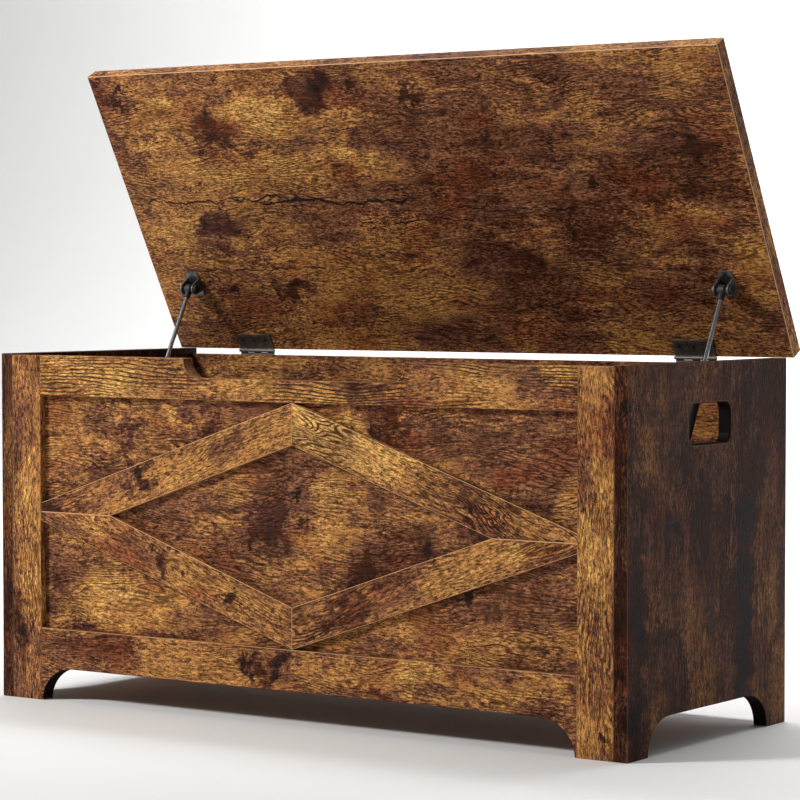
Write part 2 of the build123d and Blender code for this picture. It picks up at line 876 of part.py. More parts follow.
# A folded steel channel: one leg on the side, and the other is the ear for the pivot pin
with BuildPart() as stay_side_bracket:
    with BuildSketch(side_upright(ear_near_x)):
        Circle(side_ear_radius)
        with Locations((0, -side_bracket_drop + bracket_thickness / 2)):
            Rectangle(side_bracket_width, bracket_thickness)
        make_hull()
    extrude(amount=bracket_thickness)
    with BuildSketch(side_upright(ear_near_x)):
        with Locations((0, -side_bracket_drop + bracket_thickness / 2)):
            Rectangle(side_bracket_width, bracket_thickness)
    extrude(amount=side_inner_x - ear_near_x)
    with BuildSketch(side_upright(side_inner_x - bracket_thickness)):
        with Locations((0, -side_bracket_drop + side_bracket_rise / 2)):
            Rectangle(side_bracket_width, side_bracket_rise)
    extrude(amount=bracket_thickness)
    with BuildSketch(side_upright(ear_near_x)):
        Circle(stay_pin_radius + stay_play)
    extrude(amount=bracket_thickness, mode=Mode.SUBTRACT)
    countersunk(
        side_inner_face.offset(bracket_thickness),
        on_side_inner(side_bracket_screw_points),
        bracket_thickness,
    )
write_both_sides(stay_side_bracket, "stay_side_bracket")

# The lower pivot pin has a head each side, outside the ear and outside the cylinder's eye
with BuildPart() as stay_side_pin:
    pin_inner_x = stay_x - stay_eye_width / 2 - bracket_clearance
    with BuildSketch(side_upright(pin_inner_x)):
        Circle(stay_pin_radius)
    extrude(amount=ear_far_x - pin_inner_x)
    with BuildSketch(side_upright(pin_inner_x)):
        Circle(pin_head_radius)
    extrude(amount=-pin_head_thickness)
    with BuildSketch(side_upright(ear_far_x)):
        Circle(pin_head_radius)
    extrude(amount=pin_head_thickness)
write_both_sides(stay_side_pin, "stay_side_pin")

clevis_half = clevis_gap / 2 + bracket_thickness


def lid_pivot_upright(x):
    """A plane across the lid at x, centred on the upper pivot."""
    across = lid_upright(x)
    return Plane(
        origin=across.from_local_coords((-stay_lid_distance, lid_pivot_down, 0)),
        x_dir=across.x_dir,
        z_dir=across.z_dir,
    )


# A folded steel clevis: a plate under the lid, and two ears for the stay's upper pivot
with BuildPart() as stay_lid_clevis:
    with BuildSketch(lid_under):
        with Locations((stay_x, -stay_lid_distance)):
            RectangleRounded(2 * clevis_half, clevis_plate_length, clevis_half / 2)
    extrude(amount=-bracket_thickness)
    for inner_x in (stay_x - clevis_half, stay_x + clevis_gap / 2):
        with BuildSketch(lid_pivot_upright(inner_x)):
            Circle(clevis_ear_radius)
            with Locations((0, stay_lid_standoff - bracket_thickness / 2)):
                Rectangle(clevis_ear_base, bracket_thickness)
            make_hull()
        extrude(amount=bracket_thickness)
    countersunk(
        lid_under_face.offset(bracket_thickness),
        [(x, -y) for x, y in lid_clevis_screw_points if x > 0],
        bracket_thickness,
    )
write_both_sides(stay_lid_clevis, "stay_lid_clevis")

with BuildPart() as stay_pivot_heads:
    for face_x, out in ((stay_x - clevis_half, -1), (stay_x + clevis_half, 1)):
        with BuildSketch(lid_pivot_upright(face_x)):
            Circle(pivot_head_radius)
        extrude(amount=out * pivot_head_thickness)
    outer_rims = stay_pivot_heads.edges().filter_by(GeomType.CIRCLE).group_by(Axis.X)
    chamfer(outer_rims[0] + outer_rims[-1], pivot_head_thickness / 3)
write_both_sides(stay_pivot_heads, "stay_pivot_heads")

# ---------------------------------------------------------------- wood screws


def wood_screw(length):
    """A countersunk cross-head screw: its head faces +Z, flush with the origin."""
    head_height = (screw_head_radius - screw_radius) / math.tan(math.radians(screw_head_angle / 2))
    tip_length = 2 * screw_radius
    with BuildPart() as screw:
        with BuildSketch(Plane.XZ):
            with BuildLine():
                Polyline(
                    (0, 0),
                    (screw_head_radius, 0),
                    (screw_radius, -head_height),
                    (screw_radius, -length + tip_length),
                    (0, -length),
                    close=True,
                )
            make_face()
        revolve(axis=Axis.Z)
        with BuildSketch(Plane.XY):
            Rectangle(cross_slot_length, cross_slot_width)
            Rectangle(cross_slot_width, cross_slot_length)
        extrude(amount=-cross_slot_depth, mode=Mode.SUBTRACT)
    return screw


short_screw = wood_screw(screw_length)
long_screw = wood_screw(floor_screw_length)
lid_down = -lid_under.z_dir

body_leaf_face_y = back_y + leaf_thickness
write(
    group(short_screw, [facing((x, body_leaf_face_y, z), (0, 1, 0)) for x, z in back_screw_points]),
    "hinge_body_screws",
)


def on_lid_metal(x, y, thickness):
    """A place on metal of that thickness under the lid, facing away from the lid."""
    return facing(lid_frame.from_local_coords((x, y, hinge_to_lid - thickness)), lid_down)


write(
    group(short_screw, [on_lid_metal(x, y, leaf_thickness) for x, y in lid_hinge_screw_points]),
    "hinge_lid_screws",
)
write(
    group(short_screw, [on_lid_metal(x, y, bracket_thickness) for x, y in lid_clevis_screw_points]),
    "stay_lid_screws",
)
bracket_face_x = side_inner_x - bracket_thickness
write(
    group(
        short_screw,
        [
            facing((sign * bracket_face_x, y, z), (-sign, 0, 0))
            for sign in (-1, 1)
            for y, z in side_bracket_screw_points
        ],
    ),
    "stay_side_screws",
)
write(
    group(short_screw, [facing((x, panel_back_y, z), (0, 1, 0)) for x, z in all_batten_screws]),
    "diamond_screws",
)
write(
    group(long_screw, [facing((0, y, floor_batten_under), (0, 0, -1)) for y in floor_screw_ys]),
    "floor_batten_screws",
)

# ---------------------------------------------------------------- cam locks and dowels

# A cam lock faces +Z from the board's surface, and its bolt comes in from +X
with BuildPart() as cam_lock:
    with BuildSketch(Plane.XY):
        Circle(cam_radius)
    extrude(amount=-cam_depth)
    chamfer(cam_lock.edges(), edge_break)
    with BuildSketch(Plane(origin=(cam_radius, 0, -cam_axis_depth), z_dir=(1, 0, 0))):
        Circle(bolt_head_radius + cam_play)
    extrude(amount=-(cam_radius + bolt_head_radius), mode=Mode.SUBTRACT)
    with BuildSketch(Plane.XY):
        Rectangle(2 * cross_slot_length, 2 * cross_slot_width)
        Rectangle(2 * cross_slot_width, 2 * cross_slot_length)
    extrude(amount=-2 * cross_slot_depth, mode=Mode.SUBTRACT)

# A cam bolt's thread goes in at its origin, and its head stands out along +Z
with BuildPart() as cam_bolt:
    shank_end = cam_distance - cam_radius
    head_end = cam_distance + bolt_head_past_cam
    neck_end = head_end - bolt_head_length
    for start, end, radius in (
        (-bolt_thread_length, 0, bolt_thread_radius),
        (0, shank_end, bolt_shank_radius),
        (shank_end, neck_end, bolt_neck_radius),
        (neck_end, head_end, bolt_head_radius),
    ):
        with BuildSketch(Plane.XY.offset(start)):
            Circle(radius)
        extrude(amount=end - start)

with BuildPart() as dowel:
    with BuildSketch(Plane.XY.offset(dowel_play)):
        Circle(dowel_radius)
    extrude(amount=dowel_length - 2 * dowel_play)
    chamfer(dowel.edges(), edge_break)

cam_places = []
bolt_places = []
dowel_places = []
for sign in (-1, 1):
    towards_side = (sign, 0, 0)
    inwards = (-sign, 0, 0)
    for z in front_bolt_heights:
        origin = (sign * cam_x, front_inner_y, z)
        cam_places.append(Plane(origin=origin, x_dir=towards_side, z_dir=(0, 1, 0)))
    for z in back_bolt_heights:
        origin = (sign * cam_x, back_inner_y, z)
        cam_places.append(Plane(origin=origin, x_dir=towards_side, z_dir=(0, -1, 0)))
    for y in floor_bolt_depths:
        origin = (sign * cam_x, y, floor_height)
        cam_places.append(Plane(origin=origin, x_dir=towards_side, z_dir=(0, 0, -1)))
    bolt_places += [facing((sign * side_inner_x, y, z), inwards) for y, z in side_bolt_points]
    dowel_places += [
        facing((sign * (side_inner_x + dowel_in_side), y, z), inwards) for y, z in side_dowel_points
    ]
write(group(cam_lock, cam_places), "cam_locks")
write(group(cam_bolt, bolt_places), "cam_bolts")
write(group(dowel, dowel_places), "side_dowels")

frame_dowel_start = stile_inner_x - dowel_length / 2
write(
    group(
        dowel,
        [
            facing((sign * frame_dowel_start, frame_dowel_y, z), (sign, 0, 0))
            for sign in (-1, 1)
            for z in frame_dowel_heights
        ],
    ),
    "frame_dowels",
)
write(
    group(
        dowel,
        [
            facing((x, wall_y - way * dowel_in_wall, floor_middle_z), (0, way, 0))
            for wall_y, way in ((front_inner_y, 1), (back_inner_y, -1))
            for x in floor_wall_dowels_x
        ],
    ),
    "floor_dowels",
)
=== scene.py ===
# %% [markdown]
# # A rustic wooden toy box
#
# The boards, hinges and stays come in as a finished frame, already the right size and in
# the right place. This lesson gives them their surfaces: the printed wood-grain sheet on
# every board, the painted and plated steel of the fittings, and a plain studio to see
# them in. Everything is in metres. +Z is up, and -Y is the front with the diamond.

# %% Load the frame
import json
import math

import bpy
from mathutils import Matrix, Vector


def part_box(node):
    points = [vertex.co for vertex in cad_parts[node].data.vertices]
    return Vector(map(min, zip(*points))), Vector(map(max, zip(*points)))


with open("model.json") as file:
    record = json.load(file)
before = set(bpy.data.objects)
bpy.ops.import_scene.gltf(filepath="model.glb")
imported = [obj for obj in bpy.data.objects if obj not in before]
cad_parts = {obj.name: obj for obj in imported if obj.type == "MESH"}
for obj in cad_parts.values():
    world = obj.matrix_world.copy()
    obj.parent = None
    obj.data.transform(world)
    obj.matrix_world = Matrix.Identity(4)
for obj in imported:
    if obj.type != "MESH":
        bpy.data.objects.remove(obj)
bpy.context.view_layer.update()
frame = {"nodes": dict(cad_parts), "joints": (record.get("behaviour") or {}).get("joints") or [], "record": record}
nodes = frame["nodes"]

# %% [markdown]
# ## How the boards lie
#
# A sheet of wood print has a direction: its grain runs along the board. So each board
# gets three directions of its own: along the grain, across it in the board's face, and
# through the board. The lid stands open, tilted about its hinge line, and the battens of
# the diamond slope, so their directions are turned to match. All of a board's pattern is
# worked out in those directions, and it stays with the board when the lid swings.

# %% Board directions
lid_joint = next(joint for joint in frame["joints"] if joint["name"] == "lid_hinge")
lid_tilt = math.radians(-lid_joint["range_deg"][0])
print("lid tilt:", round(math.degrees(lid_tilt), 2))

RIGHT_ANGLE = math.pi / 2
ACROSS_FRONT = (RIGHT_ANGLE, 0.0, 0.0)
UP_FRONT = (-RIGHT_ANGLE, -RIGHT_ANGLE, 0.0)
UP_SIDE = (0.0, -RIGHT_ANGLE, 0.0)
FLAT = (0.0, 0.0, 0.0)
ON_LID = (-lid_tilt, 0.0, 0.0)

# The diamond: its battens slope from its middle height at the sides to its top and bottom
batten_low, batten_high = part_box("upper_right_batten")
diamond_middle = batten_low.z
diamond_half_height = batten_high.z - batten_low.z
diamond_half_width = batten_high.x
batten_end_half = 0.0118
batten_width = 0.0505
batten_slope = math.atan2(diamond_half_height - batten_end_half, diamond_half_width)
batten_length = diamond_half_width / math.cos(batten_slope)
print("batten slope:", round(math.degrees(batten_slope), 2), "length:", round(batten_length, 4))

# %% [markdown]
# ## A short way to write node trees
#
# A node material is a graph. Written out link by link it is hard to read, so this small
# helper adds one node, sets its sockets from values or from other nodes' outputs, and
# returns the output that the next step needs. Each recipe below then reads like a
# calculation.

# %% Node helper
class Recipe:
    """Adds nodes to one material's or one group's tree, and links them as it goes."""

    def __init__(self, tree):
        self.tree = tree

    def put(self, socket, value):
        """Sets a socket, or links it where the value is another node's output."""
        if isinstance(value, bpy.types.NodeSocket):
            self.tree.links.new(value, socket)
        elif value is not None:
            socket.default_value = value

    def add(self, kind, output=0, settings=None, **inputs):
        """Adds a node. Inputs are named by their socket, with _ for a space."""
        node = self.tree.nodes.new(kind)
        for name, value in (settings or {}).items():
            setattr(node, name, value)
        for name, value in inputs.items():
            self.put(node.inputs[name.replace("_", " ")], value)
        return node.outputs[output]

    def math(self, operation, *values):
        """One step of arithmetic on numbers or outputs."""
        node = self.tree.nodes.new("ShaderNodeMath")
        node.operation = operation
        for socket, value in zip(node.inputs, values):
            self.put(socket, value)
        return node.outputs[0]

    def vector(self, operation, *values):
        """One step of arithmetic on vectors."""
        node = self.tree.nodes.new("ShaderNodeVectorMath")
        node.operation = operation
        vectors = [socket for socket in node.inputs if socket.type == "VECTOR"]
        for socket, value in zip(vectors, values):
            self.put(socket, value)
        return node.outputs["Value" if operation in ("LENGTH", "DISTANCE") else "Vector"]

    def noise(self, place, size, detail=2.0, roughness=0.5):
        """Soft noise from 0 to 1 whose features are about that size, in metres."""
        return self.add(
            "ShaderNodeTexNoise",
            "Fac",
            Vector=place,
            Scale=1.0 / size,
            Detail=detail,
            Roughness=roughness,
        )

    def stretch(self, place, along, across, through=None, shift=(0.0, 0.0, 0.0)):
        """Squeezes a place so that later features come out this many times as long."""
        return self.add(
            "ShaderNodeMapping",
            Vector=place,
            Location=shift,
            Scale=(1.0 / along, 1.0 / across, 1.0 / (through or across)),
        )

    def ramp(self, value, low, high, from_value=0.0, to_value=1.0):
        """Rises smoothly from one value to another between low and high."""
        node = self.tree.nodes.new("ShaderNodeMapRange")
        node.interpolation_type = "SMOOTHSTEP"
        names = ("Value", "From Min", "From Max", "To Min", "To Max")
        for name, number in zip(names, (value, low, high, from_value, to_value)):
            self.put(node.inputs[name], number)
        return node.outputs["Result"]

    def mix(self, share, first, second, blend="MIX"):
        """Mixes two colours. Share 0 is the first, and 1 the second."""
        node = self.tree.nodes.new("ShaderNodeMix")
        node.data_type = "RGBA"
        node.blend_type = blend
        self.put(node.inputs[0], share)
        self.put(node.inputs[6], first)
        self.put(node.inputs[7], second)
        return node.outputs[2]


def shade(red, green, blue):
    """A colour as a painter would mix it, 0 to 255, turned into linear light."""
    def linear(part):
        part = part / 255.0
        return part / 12.92 if part <= 0.04045 else ((part + 0.055) / 1.055) ** 2.4
    return (linear(red), linear(green), linear(blue), 1.0)


print("a mid brown in linear light:", [round(c, 3) for c in shade(128, 86, 56)])

# %% [markdown]
# ## The grain's own directions, and the edge banding
#
# These boards are chipboard with a printed sheet on each face and a narrow strip of the
# same print ironed on to each edge. On a face the grain follows the board. On an end
# edge, the strip's grain runs along the strip instead, so the directions are swapped
# there. The surface's own direction, measured in the board's directions, tells a face
# from an end edge, and it also finds the small bevels. There the print is worn through
# to a paler line, and the same pale line is also a painted highlight for the light that
# catches the edges.

# %% Grain directions group
def add_socket(tree, name, kind, way="INPUT", value=None):
    """Adds a socket to the outside of a node group."""
    socket = tree.interface.new_socket(name, in_out=way, socket_type=kind)
    if value is not None:
        socket.default_value = value
    return socket


def make_grain_directions():
    """Place and bevels for a point: the place in grain directions, and how far it lies on a bevel."""
    tree = bpy.data.node_groups.new("grain_directions", "ShaderNodeTree")
    add_socket(tree, "Turn", "NodeSocketVector")
    add_socket(tree, "Start", "NodeSocketVector")
    add_socket(tree, "Place", "NodeSocketVector", "OUTPUT")
    add_socket(tree, "Board Place", "NodeSocketVector", "OUTPUT")
    add_socket(tree, "Bevel", "NodeSocketFloat", "OUTPUT")
    add_socket(tree, "Edge", "NodeSocketFloat", "OUTPUT")
    recipe = Recipe(tree)
    given = tree.nodes.new("NodeGroupInput").outputs
    where = tree.nodes.new("ShaderNodeTexCoord").outputs
    turned = []
    for source, start in ((where["Object"], given["Start"]), (where["Normal"], None)):
        moved = recipe.vector("SUBTRACT", source, start) if start else source
        turned.append(
            recipe.add(
                "ShaderNodeVectorRotate",
                settings={"rotation_type": "EULER_XYZ", "invert": True},
                Vector=moved,
                Rotation=given["Turn"],
            )
        )
    place, normal = turned
    size = recipe.add("ShaderNodeSeparateXYZ", Vector=recipe.vector("ABSOLUTE", normal))
    parts = size.node.outputs
    axes = recipe.add("ShaderNodeSeparateXYZ", Vector=place).node.outputs
    swapped = recipe.add("ShaderNodeCombineXYZ", X=axes["Y"], Y=axes["Z"], Z=axes["X"])
    on_end = recipe.math("GREATER_THAN", parts["X"], 0.75)
    chosen = tree.nodes.new("ShaderNodeMix")
    chosen.data_type = "VECTOR"
    recipe.put(chosen.inputs[0], on_end)
    recipe.put(chosen.inputs[4], place)
    recipe.put(chosen.inputs[5], swapped)
    largest = recipe.math("MAXIMUM", parts["X"], recipe.math("MAXIMUM", parts["Y"], parts["Z"]))
    bevel = recipe.ramp(largest, 0.97, 0.85)
    out = tree.nodes.new("NodeGroupOutput")
    recipe.put(out.inputs["Place"], chosen.outputs[1])
    recipe.put(out.inputs["Board Place"], place)
    recipe.put(out.inputs["Bevel"], bevel)
    recipe.put(out.inputs["Edge"], recipe.math("LESS_THAN", parts["Z"], 0.8))
    return tree


grain_directions = make_grain_directions()
print("group:", grain_directions.name, "with", len(grain_directions.nodes), "nodes")

# %% [markdown]
# ## The wood print
#
# The print imitates old, stained boards. It has four layers, from large to small:
#
# 1. Tone. Blocks and drifts of ochre, brown and umber, about a hand wide.
# 2. Stain. Near-black smudges and small knots that lie across the grain.
# 3. Rings. Fine dark growth lines, a few millimetres apart, that drift and bend.
# 4. Pores. Short dark flecks along the grain, and a dusty speckle.
#
# Noise stretched along the grain gives the first cut of each layer. The rings are a sine
# wave across the grain, bent by slow noise, which is what a saw makes of real growth
# rings. Smoothed square cells give the blocks. The alternative is a photographed
# texture, but that would repeat, and it couldn't follow each board's own direction.

# %% The print's inks
UMBER = shade(70, 36, 18)
BROWN = shade(125, 81, 56)
OCHRE = shade(172, 120, 66)
STRAW = shade(206, 157, 88)
RUSSET = shade(126, 60, 32)
PLUM = shade(84, 50, 46)
DARK_UMBER = shade(52, 28, 18)
NEAR_BLACK = shade(20, 14, 13)
DEEP_LINE = shade(38, 15, 6)
# Pale edge colour: print worn through on the bevels, and a painted highlight there too.
WORN_EDGE_AND_HIGHLIGHT = shade(226, 180, 136)
RING_SPACING = 0.0042
print("ring spacing in millimetres:", RING_SPACING * 1000)


# %% Wood print group
def make_wood_print():
    """Colour, height and roughness of the wood print at a place in grain directions."""
    tree = bpy.data.node_groups.new("wood_print", "ShaderNodeTree")
    add_socket(tree, "Place", "NodeSocketVector")
    add_socket(tree, "Ochre", "NodeSocketFloat", value=0.5)
    add_socket(tree, "Stain", "NodeSocketFloat", value=0.5)
    add_socket(tree, "Rings", "NodeSocketFloat", value=0.6)
    add_socket(tree, "Bend", "NodeSocketFloat", value=0.085)
    add_socket(tree, "Light Patch", "NodeSocketFloat", value=0.0)
    add_socket(tree, "Dark Patch", "NodeSocketFloat", value=0.0)
    add_socket(tree, "Colour", "NodeSocketColor", "OUTPUT")
    add_socket(tree, "Height", "NodeSocketFloat", "OUTPUT")
    add_socket(tree, "Roughness", "NodeSocketFloat", "OUTPUT")
    recipe = Recipe(tree)
    given = tree.nodes.new("NodeGroupInput").outputs
    place = given["Place"]

    # A slow wander that nothing in wood is quite free of
    wander = recipe.add("ShaderNodeTexNoise", "Color", Vector=place, Scale=14.0, Detail=3.0)
    wander = recipe.vector("SUBTRACT", wander, (0.5, 0.5, 0.5))
    small_wander = recipe.vector("MULTIPLY", wander, (0.05, 0.02, 0.02))
    wandered = recipe.vector("ADD", place, small_wander)

    # The finest layer comes first, because it also breaks up the rims of the larger ones
    fleck = recipe.noise(recipe.stretch(place, 2.6, 1.0), 0.0024, 3.0, 0.8)
    fleck_sign = recipe.math("SUBTRACT", fleck, 0.5)
    spread = recipe.vector("MULTIPLY", wander, (0.02, 0.02, 0.02))
    dithered = recipe.vector("ADD", wandered, recipe.math("MULTIPLY", fleck_sign, 0.055))
    dithered = recipe.vector("ADD", dithered, spread)

    # Tone: soft blocks, broad ragged drifts and narrow streaks along the grain
    blocks = recipe.add(
        "ShaderNodeTexVoronoi",
        "Color",
        settings={"distance": "CHEBYCHEV", "feature": "SMOOTH_F1"},
        Vector=recipe.stretch(dithered, 0.085, 0.055),
        Scale=1.0,
        Smoothness=0.3,
        Randomness=0.8,
    )
    block = recipe.add("ShaderNodeSeparateColor", "Red", Color=blocks)
    drift = recipe.noise(recipe.stretch(wandered, 1.8, 1.0), 0.1, 7.0, 0.68)
    streak = recipe.noise(recipe.stretch(wandered, 7.0, 1.0), 0.011, 4.0, 0.66)
    tone = recipe.math("MULTIPLY", block, 0.42)
    tone = recipe.math("MULTIPLY_ADD", drift, 0.95, tone)
    tone = recipe.math("MULTIPLY_ADD", streak, 1.0, tone)
    tone = recipe.math("MULTIPLY_ADD", fleck_sign, 0.9, tone)
    tone = recipe.math("MULTIPLY_ADD", given["Ochre"], 0.5, tone)
    tone = recipe.math("MULTIPLY_ADD", given["Light Patch"], 0.42, tone)
    tone = recipe.math("MULTIPLY_ADD", given["Dark Patch"], -0.42, tone)
    colour = recipe.mix(recipe.ramp(tone, 0.96, 1.36), UMBER, BROWN)
    colour = recipe.mix(recipe.ramp(tone, 1.3, 1.62), colour, OCHRE)
    colour = recipe.mix(recipe.ramp(tone, 1.64, 2.08), colour, STRAW)

    # A reddish or a purplish cast here and there, as the stain took unevenly
    cast = recipe.noise(recipe.stretch(place, 1.6, 1.0, shift=(3.1, 1.7, 0.4)), 0.06, 2.0)
    red = recipe.math("MULTIPLY", recipe.ramp(cast, 0.52, 0.7), 0.45)
    colour = recipe.mix(red, colour, RUSSET)
    plum = recipe.math("MULTIPLY", recipe.ramp(cast, 0.46, 0.3), 0.4)
    colour = recipe.mix(plum, colour, PLUM)

    # Stain: smudges that lie across the grain, with ragged rims, and small tight knots
    smudge_place = recipe.stretch(wandered, 1.0, 1.7, 1.0, shift=(7.3, 0.2, 5.1))
    smudge = recipe.noise(smudge_place, 0.04, 6.0, 0.7)
    limit = recipe.math("MULTIPLY_ADD", given["Stain"], -0.16, 0.72)
    limit = recipe.math("MULTIPLY_ADD", given["Dark Patch"], -0.15, limit)
    limit = recipe.math("MULTIPLY_ADD", given["Light Patch"], 0.1, limit)
    over = recipe.math("SUBTRACT", smudge, limit)
    over = recipe.math("MULTIPLY_ADD", fleck_sign, 0.4, over)
    soft_stain = recipe.ramp(over, -0.05, 0.05)
    hard_stain = recipe.ramp(over, 0.04, 0.09)
    knots = recipe.add(
        "ShaderNodeTexVoronoi",
        "Distance",
        settings={"feature": "F1"},
        Vector=recipe.stretch(wandered, 0.11, 0.15, 0.15, shift=(1.9, 4.2, 0.0)),
        Scale=1.0,
        Randomness=1.0,
    )
    knot_rim = recipe.math("MULTIPLY_ADD", smudge, 0.22, knots)
    knot_rim = recipe.math("MULTIPLY_ADD", fleck_sign, 0.12, knot_rim)
    knot = recipe.ramp(knot_rim, 0.18, 0.15)
    colour = recipe.mix(recipe.math("MULTIPLY", soft_stain, 0.62), colour, DARK_UMBER)
    colour = recipe.mix(recipe.math("MULTIPLY", hard_stain, 0.88), colour, NEAR_BLACK)
    colour = recipe.mix(recipe.math("MULTIPLY", knot, 0.85), colour, NEAR_BLACK)

    # Rings: a sine wave across the grain, bent by slow noise, strong only in places
    axes = recipe.add("ShaderNodeSeparateXYZ", Vector=place).node.outputs
    bend = recipe.noise(recipe.stretch(place, 4.0, 1.0, shift=(0.0, 2.2, 0.0)), 0.045, 2.0, 0.45)
    flow = recipe.math("MULTIPLY_ADD", bend, given["Bend"], recipe.math("ADD", axes["Y"], axes["Z"]))
    jitter = recipe.noise(recipe.stretch(place, 4.0, 1.0), 0.007, 2.0)
    flow = recipe.math("MULTIPLY_ADD", jitter, 0.0035, flow)
    wave = recipe.math("SINE", recipe.math("MULTIPLY", flow, 2.0 * math.pi / RING_SPACING))
    line = recipe.ramp(recipe.math("MULTIPLY_ADD", fleck_sign, 1.2, wave), 0.0, 0.7)
    where = recipe.noise(recipe.stretch(place, 2.2, 1.0, shift=(0.0, 0.0, 8.0)), 0.05, 2.0)
    ring_share = recipe.ramp(where, 0.36, 0.6, 0.12, 1.0)
    ring = recipe.math("MULTIPLY", line, recipe.math("MULTIPLY", ring_share, given["Rings"]))
    colour = recipe.mix(recipe.math("MULTIPLY", ring, 0.86), colour, DEEP_LINE)

    # Pores along the grain, and the dusty speckle over everything
    pores = recipe.noise(recipe.stretch(wandered, 8.0, 1.0), 0.0021, 2.0, 0.65)
    pore = recipe.ramp(pores, 0.52, 0.68)
    colour = recipe.mix(recipe.math("MULTIPLY", pore, 0.72), colour, DEEP_LINE)
    dust = recipe.ramp(fleck, 0.34, 0.66, 0.34, 1.85)
    dust_grey = recipe.add("ShaderNodeCombineColor", Red=dust, Green=dust, Blue=dust)
    colour = recipe.mix(1.0, colour, dust_grey, "MULTIPLY")

    height = recipe.math("SUBTRACT", 1.0, recipe.math("MAXIMUM", pore, ring))
    height = recipe.math("MULTIPLY_ADD", fleck, 0.4, height)
    rough = recipe.math("MULTIPLY_ADD", fleck, 0.16, 0.48)
    rough = recipe.math("MULTIPLY_ADD", pore, 0.14, rough)
    rough = recipe.math("MULTIPLY_ADD", soft_stain, -0.05, rough)
    out = tree.nodes.new("NodeGroupOutput")
    recipe.put(out.inputs["Colour"], colour)
    recipe.put(out.inputs["Height"], height)
    recipe.put(out.inputs["Roughness"], rough)
    return tree


wood_print = make_wood_print()
print("group:", wood_print.name, "with", len(wood_print.nodes), "nodes")

# %% [markdown]
# ## One material for each board
#
# Two boards cut from the same print never look alike, because each is cut from another
# place on the sheet. So each board starts somewhere else in the pattern, and each has its
# own share of ochre and of stain. A few listed patches are then placed, as a share of
# the board's length and height, where the real box has its palest and darkest areas.
# Their outlines are bent by noise, because a plain oval would show as a blob.

# %% Board material
def patches(recipe, place, spots, size):
    """How far a place is inside the listed patches, from 0 to 1."""
    total = 0.0
    for along, across, half_along, half_across, strength in spots:
        centre = (along * size[0], across * size[1], 0.0)
        half = (half_along * size[0], half_across * size[1], 10.0)
        away = recipe.vector("DIVIDE", recipe.vector("SUBTRACT", place, centre), half)
        inside = recipe.ramp(recipe.vector("LENGTH", away), 1.2, 0.5, 0.0, strength)
        total = recipe.math("MAXIMUM", total, inside)
    return total


def cracks(recipe, place, runs, size):
    """Dark drying cracks that run along the grain, each from one share to another."""
    axes = recipe.add("ShaderNodeSeparateXYZ", Vector=place).node.outputs
    total = 0.0
    for first, last, across, width in runs:
        shift = (0.0, across * 9.0, 0.0)
        sway = recipe.noise(recipe.stretch(place, 1.0, 60.0, shift=shift), 0.07, 4.0, 0.62)
        line = recipe.math("MULTIPLY_ADD", recipe.math("SUBTRACT", sway, 0.5), 0.05, axes["Y"])
        off = recipe.math("ABSOLUTE", recipe.math("SUBTRACT", line, across * size[1]))
        thin = recipe.noise(recipe.stretch(place, 1.0, 60.0, shift=shift), 0.03, 3.0)
        reach = recipe.math("MULTIPLY", recipe.ramp(thin, 0.34, 0.56, 0.25, 1.0), width)
        inside = recipe.math("SUBTRACT", 1.0, recipe.math("DIVIDE", off, reach))
        starts = recipe.ramp(axes["X"], first * size[0], (first + 0.03) * size[0])
        ends = recipe.ramp(axes["X"], last * size[0], (last - 0.03) * size[0])
        run = recipe.math("MULTIPLY", starts, ends)
        here = recipe.math("MULTIPLY", recipe.ramp(inside, 0.0, 0.5), run)
        total = recipe.math("MAXIMUM", total, here)
    return total


def inner_cut(recipe, place, edge, size):
    """1 on a sawn edge inside the board's outline, such as an arch or a hand hole."""
    axes = recipe.add("ShaderNodeSeparateXYZ", Vector=place).node.outputs
    margins = []
    for name, length in (("X", size[0]), ("Y", size[1])):
        margins.append(axes[name])
        margins.append(recipe.math("SUBTRACT", length, axes[name]))
    nearest = margins[0]
    for margin in margins[1:]:
        nearest = recipe.math("MINIMUM", nearest, margin)
    return recipe.math("MULTIPLY", edge, recipe.math("GREATER_THAN", nearest, 0.002))


